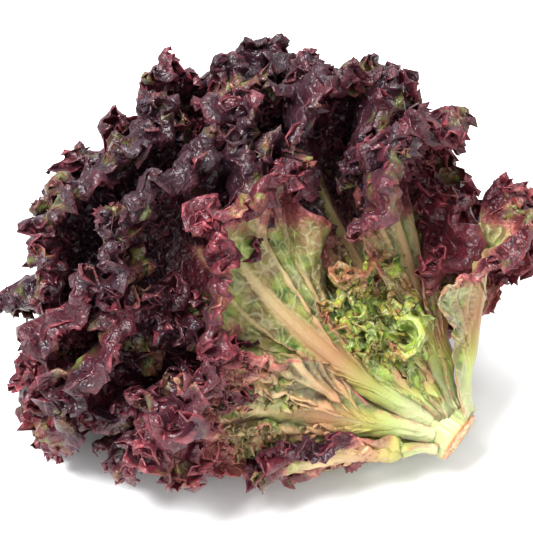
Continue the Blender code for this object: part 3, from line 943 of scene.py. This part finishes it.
def made_plain(piece):
    """Turns a piece with modifiers into a plain mesh above the table, without values only they read."""
    graph = bpy.context.evaluated_depsgraph_get()
    mesh = bpy.data.meshes.new_from_object(piece.evaluated_get(graph))
    piece.modifiers.clear()
    piece.data = mesh
    places = np.empty(3 * len(mesh.vertices))
    mesh.vertices.foreach_get("co", places)
    heights = places[2::3]
    low = heights < TABLE_CLEARANCE
    heights[low] = TABLE_CLEARANCE * np.exp(heights[low] / TABLE_CLEARANCE - 1.0)
    mesh.vertices.foreach_set("co", places)
    if "rib_height" in mesh.attributes:
        mesh.attributes.remove(mesh.attributes["rib_height"])


def stem_mesh():
    """The cut stem as rings round the head's axis, a little lobed where leaves grew out of it."""
    rng = np.random.default_rng(bpy.context.scene.lettuce_head.seed)
    height, radius, cut_share = (np.array(values)[:, None] for values in zip(*STEM_OUTLINE))
    angle = np.linspace(0.0, math.tau, STEM_COLUMNS, endpoint=False)[None, :]
    ridges = sum(size * np.cos(count * angle + phase) for size, count, phase in STEM_RIDGES)
    uneven = CUT_UNEVEN * rng.uniform(-1.0, 1.0, (len(STEM_OUTLINE), STEM_COLUMNS)) * cut_share
    radii = radius * (1.0 + ridges * np.minimum(radius / FULL_RIDGES_FROM, 1.0)) * MM
    heights = (height + CUT_HEIGHTS * uneven) * MM * np.ones_like(angle)
    points = place(heights, radii, angle * np.ones_like(radius))
    ends = [place(np.array([z * MM]), np.array([0.0]), np.array([0.0]))[0] for z in STEM_ENDS]
    rings, count = len(STEM_OUTLINE), STEM_COLUMNS
    faces = []
    for column in range(count):
        after = (column + 1) % count
        faces.append((rings * count, column, after))
        for ring in range(rings - 1):
            low, high = ring * count, (ring + 1) * count
            faces.append((low + column, high + column, high + after, low + after))
        faces.append((rings * count + 1, (rings - 1) * count + after, (rings - 1) * count + column))
    mesh = bpy.data.meshes.new("cut_stem")
    mesh.from_pydata(np.concatenate([points.reshape(-1, 3), ends]).tolist(), [], faces)
    bm = bmesh.new()
    bm.from_mesh(mesh)
    bmesh.ops.recalc_face_normals(bm, faces=bm.faces)
    bm.to_mesh(mesh)
    bm.free()
    for key, value, at_middle in (("cut", cut_share, 1.0), ("radial", radius / CUT_RADIUS, 0.0)):
        whole = np.concatenate([(value * np.ones_like(angle)).ravel(), [0.0, at_middle]])
        mesh.attributes.new(key, "FLOAT", "POINT").data.foreach_set("value", whole)
    return mesh


def bundles_tree():
    """The node tree that sets the stem's vein bundles round the cut."""
    sockets = (
        ("Bundles", "Int"),
        ("Ring Radius", "Float"),
        ("Bundle Radius", "Float"),
        ("Place", "Vector"),
        ("Turn", "Rotation"),
        ("Seed", "Int"),
    )
    tree, add, given = new_group("vein_bundles", sockets)
    ring = add("GeometryNodeMeshCircle", {"Vertices": given["Bundles"], "Radius": given["Ring Radius"]})
    limits = {0: (-BUNDLE_DRIFT, -BUNDLE_DRIFT, 0.0), 1: (BUNDLE_DRIFT, BUNDLE_DRIFT, 0.0)}
    drift = add("FunctionNodeRandomValue", {**limits, "Seed": given["Seed"]}, data_type="FLOAT_VECTOR")
    spread = add("GeometryNodeSetPosition", {"Geometry": ring, "Offset": drift})
    limits = {2: BUNDLE_SIZES[0], 3: BUNDLE_SIZES[1]}
    size = add("FunctionNodeRandomValue", {**limits, "Seed": given["Seed"]}, output=1, data_type="FLOAT")
    bead = add("GeometryNodeMeshUVSphere", {"Segments": 12, "Rings": 8, "Radius": given["Bundle Radius"]})
    beads = add("GeometryNodeInstanceOnPoints", {"Points": spread, "Instance": bead, "Scale": size})
    turned = {"Geometry": beads, "Translation": given["Place"], "Rotation": given["Turn"]}
    mark = {"Geometry": add("GeometryNodeTransform", turned), "Name": "cut", "Value": BUNDLE_MARK}
    marked = add("GeometryNodeStoreNamedAttribute", mark, data_type="FLOAT", domain="INSTANCE")
    whole = add("GeometryNodeJoinGeometry", {"Geometry": marked})
    tree.links.new(given["Geometry"], whole.node.inputs[0])
    end_group(add, whole, given["Finish"])
    return tree


def new_material(name, attributes, patterns):
    """An empty material: it, what adds a node, a point's place, and what drives its layers."""
    material = bpy.data.materials.new(name)
    material.use_nodes = True
    material.node_tree.nodes.clear()
    add = partial(put, material.node_tree)
    place_of = add("ShaderNodeTexCoord", output="Object")
    drives = {key: add("ShaderNodeAttribute", output="Fac", attribute_name=key) for key in attributes}
    for key, (size, detail) in patterns.items():
        drives[key] = add("noise", place_of, 1.0 / (size * MM), detail)
    return material, add, place_of, drives


def layered(add, drives, colours, below, layers):
    """A colour built up in layers, each of which comes in where its drive is high enough."""
    for drive, low, high, strength, over in layers:
        factor = add("ramp", drives[drive], low, high, strength)
        below = add("mix", factor, below, colours[over])
    return below


def stem_material():
    """Cut lettuce stem: wet pale pith that has browned in the air, in a whitish green rind."""
    head = bpy.context.scene.lettuce_head
    material, add, _, drives = new_material("cut_stem_flesh", ("cut", "radial"), STEM_PATTERNS)
    colours = {key: (*getattr(head, key), 1.0) for key in ("rind", "pith", "browned")}
    drives["edge"] = add("multiply_add", drives["stain"], STAIN_AT_EDGE, drives["radial"])
    colours["flesh"] = layered(add, drives, colours, colours["pith"], FLESH_LAYERS)
    colour = layered(add, drives, colours, colours["rind"], RIND_LAYERS)
    relief = add("multiply_add", drives["grain"], GRAIN_RELIEF, drives["stain"])
    bump = add("ShaderNodeBump", {"Height": relief, "Strength": 0.6, "Distance": 0.8 * MM})
    skin = add("ShaderNodeBsdfPrincipled", {"Base Color": colour, "Roughness": 0.42, "Normal": bump})
    add("ShaderNodeOutputMaterial", {"Surface": skin})
    return material


def leaf_material(name, pigments):
    """Lettuce leaf: waxy and satin, thin enough to glow when lit from behind.

    The red pigment sits in the skin of the blade, and spares the veins, so the green leaf
    shows along them. The rim is the frill's own crimson edge, painted brighter as light glowing
    through it. The ribs are pale, with long fibres. The hollows of the crinkles and the recesses
    between stout veins are painted darker: painted shade.
    """
    if name in bpy.data.materials:
        return bpy.data.materials[name]
    attributes = ("red", "vein", "dark", "along", "across", "rim", "recess", "crinkled", "outer_side")
    material, add, place_of, drives = new_material(name, attributes, LEAF_PATTERNS)
    colours = {key: (*value, 1.0) for key, value in pigments.items()}
    fine, patch = drives["fine"], drives["patch"]

    # Fibres that run along the ribs.
    along_fibre = add("multiply", drives["along"], FIBRE_STRETCH)
    fibre_place = add("ShaderNodeCombineXYZ", {"X": drives["across"], "Y": along_fibre})
    drives["fibre"] = add("noise", fibre_place, 1.0 / FIBRE_SIZE, 2.0)

    # Veinlets between the veins, a net of bent lines.
    waves = {"Vector": place_of, "Scale": 1.0 / BEND_SIZE, "Detail": 1.0}
    shift = add("ShaderNodeTexNoise", waves, output="Color")
    shift = add("vector_scale", add("vector_subtract", shift, (0.5, 0.5, 0.5)), BEND_REACH)
    net = {"Vector": add("vector_add", place_of, shift), "Scale": 1.0 / VEINLET_CELL}
    drives["cells"] = add("ShaderNodeTexVoronoi", net, feature="DISTANCE_TO_EDGE")

    # Green blade and ribs, with painted shade between stout veins, then the red skin over them, browner or
    # greener where it is thin.
    green = layered(add, drives, colours, colours["deep_green"], GREEN_LAYERS)
    colours["whole_rib"] = layered(add, drives, colours, colours["rib_base"], RIB_LAYERS)
    drives["level"] = add("subtract", add("multiply_add", fine, RED_SPREAD, drives["red"]), RED_LEVEL)
    shade = drives["dark"]
    for key, weight in SHADES:
        shade = add("multiply_add", drives[key], weight, shade)
    drives["shade"] = shade
    colours["faded"] = layered(add, drives, colours, colours["russet"], FADED_LAYERS)
    colours["whole_red"] = layered(add, drives, colours, colours["red"], RED_LAYERS)
    colour = layered(add, drives, colours, green, BLADE_LAYERS)
    # Painted glow: the thin rim of a red frill is painted brighter, as if lit through; in the young leaves
    # the rim is their own brown edge.
    rim_glow = add("multiply", drives["rim"], add("ramp", patch, *RIM_GLOW_PATCHES))
    rim_glow = add("multiply", rim_glow, add("ramp", shade, *RIM_GLOW_SHADES))
    colour = add("mix", rim_glow, colour, colours["rim"])

    # Painted shade: the hollows of the crinkles are painted darker, less so on the ribs.
    rough_skin = add("multiply_add", drives["crinkled"], *CRINKLED_SHARE)
    in_red = add("multiply_add", add("ramp", drives["level"], *HOLLOWS_IN_RED), *HOLLOW_DARKNESS)
    hollow = add("multiply", add("ramp", drives["crinkle"], *HOLLOWS), add("multiply", in_red, rough_skin))
    colour = add("mix", hollow, colour, colours["hollow"])

    # The skin is crinkled, and fibrous on the ribs.
    relief = add("multiply", add("multiply_add", fine, FINE_RELIEF, drives["crinkle"]), rough_skin)
    veinlet = add("ramp", drives["cells"], *VEINLET)
    flat_net = add("multiply", veinlet, add("subtract", 1.0, drives["vein"]))
    relief = add("multiply_add", flat_net, VEINLET_RELIEF, relief)
    relief = add("multiply_add", add("multiply", drives["fibre"], drives["vein"]), FIBRE_RELIEF, relief)
    bump = add("ShaderNodeBump", {"Height": relief, "Strength": 0.9, "Distance": 1.6 * MM})
    wax = {
        "Base Color": colour,
        "Roughness": 0.28,
        "IOR": 1.5,
        "Normal": bump,
        "Sheen Weight": 0.13,
        "Sheen Roughness": 0.45,
        "Sheen Tint": colours["bloom"],
    }
    glow = add("ShaderNodeBsdfTranslucent", {"Color": colour})
    body = add("ShaderNodeMixShader", {0: GLOW, 1: add("ShaderNodeBsdfPrincipled", wax), 2: glow})
    add("ShaderNodeOutputMaterial", {"Surface": body})
    return material


class LettuceHead(bpy.types.PropertyGroup):
    """Sizes of the leaves and the stem's vein bundles. The colours are added below."""

    blade_thickness: FloatProperty(
        name="Blade Thickness",
        description="How thick a leaf is away from its ribs",
        default=0.45 * MM,
        unit="LENGTH",
    )
    crinkle_height: FloatProperty(
        name="Crinkle Height",
        description="How high the small crinkles of a leaf stand",
        default=1.8 * MM,
        unit="LENGTH",
    )
    crinkle_size: FloatProperty(
        name="Crinkle Size",
        description="How far apart the small crinkles of a leaf are",
        default=4.0 * MM,
        unit="LENGTH",
    )
    bundles: IntProperty(name="Bundles", description="How many vein bundles the cut stem shows", default=19)
    bundle_radius: FloatProperty(
        name="Bundle Radius", description="Size of a vein bundle in the cut", default=0.9 * MM, unit="LENGTH"
    )
    seed: IntProperty(name="Seed", description="Changes how the frills fall", default=7)


for pigment, (colour_hex, described) in {**LEAF_COLOURS, **OTHER_COLOURS}.items():
    LettuceHead.__annotations__[pigment] = FloatVectorProperty(
        name=pigment.replace("_", " ").title(),
        description=described,
        subtype="COLOR",
        default=linear(colour_hex),
    )


class LettuceStage(bpy.types.PropertyGroup):
    """Where the camera stands and what it takes in."""

    camera_elevation: FloatProperty(
        name="Camera Elevation",
        description="How far the camera looks down",
        default=math.radians(32.0),
        subtype="ANGLE",
    )
    camera_turn: FloatProperty(
        name="Camera Turn",
        description="How far the camera looks to the right of the head's +Y",
        default=math.radians(4.0),
        subtype="ANGLE",
    )
    camera_distance: FloatProperty(
        name="Camera Distance", description="From the camera to the cut stem", default=0.62, unit="LENGTH"
    )
    picture_width: FloatProperty(
        name="Picture Width",
        description="How much the picture takes in at the cut stem",
        default=0.46 * MM * IMAGE_SIDE,
        unit="LENGTH",
    )
    cut_across: FloatProperty(
        name="Cut Across", description="Pixels from the left to the cut stem", default=460.0
    )
    cut_down: FloatProperty(
        name="Cut Down", description="Pixels from the top to the cut stem", default=438.0
    )


def red_pigments():
    head = bpy.context.scene.lettuce_head
    return {key: tuple(getattr(head, key)) for key in LEAF_COLOURS}


def young_pigments():
    head = bpy.context.scene.lettuce_head
    green, edge, deep = tuple(head.young_green), tuple(head.young_edge), tuple(head.deep_green)
    # In the young leaves the painted shade of the hollows is deep green, and the rim is their own brown
    # edge.
    own = {"green": green, "tinge": tuple(head.green), "rib": tuple(head.rib_base), "hollow": deep}
    return {**red_pigments(), **own, "blush": edge, "red": edge, "rim": edge}


def make_leaves(leaves, first):
    """Each leaf as a piece of its own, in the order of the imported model's waves."""
    material = leaf_material("red_leaf_skin", red_pigments())
    for order, (name, leaf) in enumerate(leaves.items(), first):
        seed = bpy.context.scene.lettuce_head.seed + SEED_STEP * order
        phase = PHASE_STEP * order
        bands = BACK_SHOWS if name in SHOWN_BACKS else BACK_HIDDEN
        spacing = FINE_SPACING if name in FINE_RUFFLES else SPACING
        grids = leaf_grids(leaf, phase, COLUMNS, seed, bands=bands, spacing=spacing)
        if name in COMPANIONS:
            grids += leaf_grids(COMPANIONS[name], phase + 1.0, COLUMNS, seed + COMPANION_SEED, bands=bands)
        finished_leaf(f"{name}_frilled", grids, material, order, [name])


class LETTUCE_OT_outer_leaves(bpy.types.Operator):
    """Make the outer leaves, whose backs show round the cut stem"""

    bl_idname = "lettuce.outer_leaves"
    bl_label = "Outer Leaves"

    def execute(self, context):
        make_leaves(OUTER_LEAVES, 0)
        return {"FINISHED"}


class LETTUCE_OT_inner_leaves(bpy.types.Operator):
    """Make the inner leaves, whose frills cover the head"""

    bl_idname = "lettuce.inner_leaves"
    bl_label = "Inner Leaves"

    def execute(self, context):
        make_leaves(INNER_LEAVES, len(OUTER_LEAVES))
        return {"FINISHED"}


class LETTUCE_OT_heart(bpy.types.Operator):
    """Make the heart of the head"""

    bl_idname = "lettuce.heart"
    bl_label = "Heart"

    def execute(self, context):
        seed = context.scene.lettuce_head.seed + HEART_SEED
        leaves = [
            leaf_grids(leaf, HEART_PHASE_STEP * (k + 1), COLUMNS, seed + k, heart=True)
            for k, leaf in enumerate(HEART_LEAVES)
        ]
        material = leaf_material("red_leaf_skin", red_pigments())
        for name, first, last in HEART_PIECES:
            grids = sum(leaves[first:last], [])
            noise = HEART_NOISE + first
            finished_leaf(f"heart_{name}_leaves", grids, material, noise, ["heart"])
        return {"FINISHED"}


class LETTUCE_OT_young_leaves(bpy.types.Operator):
    """Make the young green leaves that grow between the outer ones"""

    bl_idname = "lettuce.young_leaves"
    bl_label = "Young Leaves"

    def execute(self, context):
        seed = context.scene.lettuce_head.seed + YOUNG_SEED
        size = {"heart": True, "spacing": FINE_SPACING, "scale": YOUNG_SCALE}
        grids = []
        for k, leaf in enumerate(YOUNG_LEAVES):
            grids += leaf_grids(leaf, 1.0 + HEART_PHASE_STEP * k, YOUNG_COLUMNS, seed + k, **size)
        material = leaf_material("young_leaf_skin", young_pigments())
        nodes = ["young_leaves"]
        finished_leaf("young_leaves_frilled", grids, material, YOUNG_NOISE, nodes)
        return {"FINISHED"}


class LETTUCE_OT_cut_stem(bpy.types.Operator):
    """Make the cut stem that the leaves grow from"""

    bl_idname = "lettuce.cut_stem"
    bl_label = "Cut Stem"

    def execute(self, context):
        head = context.scene.lettuce_head
        piece = bpy.data.objects.new("cut_stem", stem_mesh())
        context.scene.collection.objects.link(piece)
        axis = Vector(head_frame()[0])
        wanted = {
            "Bundles": head.bundles,
            "Ring Radius": BUNDLE_RING,
            "Bundle Radius": head.bundle_radius,
            "Place": Vector(CUT_CENTRE) + axis * BUNDLE_LIFT,
            "Turn": axis.to_track_quat("Z", "Y").to_euler(),
            "Seed": head.seed,
            "Finish": stem_material(),
        }
        run_tree(piece, bundles_tree(), wanted)
        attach(piece, "root")
        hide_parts("stem")
        return {"FINISHED"}


class LETTUCE_OT_stage(bpy.types.Operator):
    """Make the floor, the lights and the camera"""

    bl_idname = "lettuce.stage"
    bl_label = "Stage"

    def execute(self, context):
        scene, stage = context.scene, context.scene.lettuce_stage
        scene.view_settings.view_transform = "Standard"

        tilt, turn = stage.camera_elevation, stage.camera_turn
        ahead = Vector((math.sin(turn), math.cos(turn), 0.0))
        right = Vector((math.cos(turn), -math.sin(turn), 0.0))
        forward = ahead * math.cos(tilt) - Vector((0.0, 0.0, math.sin(tilt)))
        up = ahead * math.sin(tilt) + Vector((0.0, 0.0, math.cos(tilt)))
        pixel = stage.picture_width / IMAGE_SIDE
        middle = IMAGE_SIDE / 2.0
        aim = Vector(CUT_CENTRE)
        aim += right * (middle - stage.cut_across) * pixel
        aim += up * (stage.cut_down - middle) * pixel
        data = bpy.data.cameras.new("camera")
        data.sensor_width = SENSOR
        data.lens = SENSOR * stage.camera_distance / stage.picture_width
        camera = bpy.data.objects.new("camera", data)
        camera.location = aim - forward * stage.camera_distance
        camera.rotation_mode = "QUATERNION"
        camera.rotation_quaternion = forward.to_track_quat("-Z", "Y")
        scene.collection.objects.link(camera)
        scene.camera = camera

        bm = bmesh.new()
        bmesh.ops.create_grid(bm, x_segments=1, y_segments=1, size=FLOOR_HALF)
        mesh = bpy.data.meshes.new("floor")
        bm.to_mesh(mesh)
        bm.free()
        floor = bpy.data.objects.new("floor", mesh)

        # White card: matt, so the head has a soft shadow and no reflection on it.
        material = bpy.data.materials.new("white_card")
        material.use_nodes = True
        shader = material.node_tree.nodes["Principled BSDF"]
        shader.inputs["Base Color"].default_value = (*linear(FLOOR_COLOUR), 1.0)
        shader.inputs["Roughness"].default_value = FLOOR_ROUGHNESS
        mesh.materials.append(material)
        scene.collection.objects.link(floor)

        world = bpy.data.worlds.new("studio")
        scene.world = world
        world.use_nodes = True
        sky = world.node_tree.nodes["Background"]
        sky.inputs["Color"].default_value = (1.0, 1.0, 1.0, 1.0)
        sky.inputs["Strength"].default_value = SKY
        for name, spot, size, power in LIGHTS:
            data = bpy.data.lights.new(name, "AREA")
            data.shape = "SQUARE"
            data.size = size
            data.energy = power
            light = bpy.data.objects.new(name, data)
            light.location = spot
            light.rotation_mode = "QUATERNION"
            light.rotation_quaternion = (Vector(LIT_POINT) - Vector(spot)).to_track_quat("-Z", "Y")
            scene.collection.objects.link(light)
        return {"FINISHED"}


class LETTUCE_PT_head(bpy.types.Panel):
    """Lists the head's pieces and their sizes"""

    bl_label = "Red Curly Lettuce"
    bl_idname = "LETTUCE_PT_head"
    bl_space_type = "VIEW_3D"
    bl_region_type = "UI"
    bl_category = "Lettuce"

    def draw(self, context):
        for group in (context.scene.lettuce_head, context.scene.lettuce_stage):
            for name in group.__annotations__:
                self.layout.prop(group, name)
        for operator in OPERATORS:
            self.layout.operator(operator.bl_idname)


OPERATORS = (
    LETTUCE_OT_outer_leaves,
    LETTUCE_OT_inner_leaves,
    LETTUCE_OT_heart,
    LETTUCE_OT_young_leaves,
    LETTUCE_OT_cut_stem,
    LETTUCE_OT_stage,
)
CLASSES = (LettuceHead, LettuceStage, *OPERATORS, LETTUCE_PT_head)


def register():
    for cls in CLASSES:
        bpy.utils.register_class(cls)
    bpy.types.Scene.lettuce_head = PointerProperty(type=LettuceHead)
    bpy.types.Scene.lettuce_stage = PointerProperty(type=LettuceStage)


def unregister():
    del bpy.types.Scene.lettuce_stage
    del bpy.types.Scene.lettuce_head
    for cls in reversed(CLASSES):
        bpy.utils.unregister_class(cls)


def main():
    register()
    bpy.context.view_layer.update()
    bpy.ops.lettuce.outer_leaves()
    bpy.ops.lettuce.inner_leaves()
    bpy.ops.lettuce.heart()
    bpy.ops.lettuce.young_leaves()
    bpy.ops.lettuce.cut_stem()
    bpy.ops.lettuce.stage()


if __name__ == "__main__":
    main()
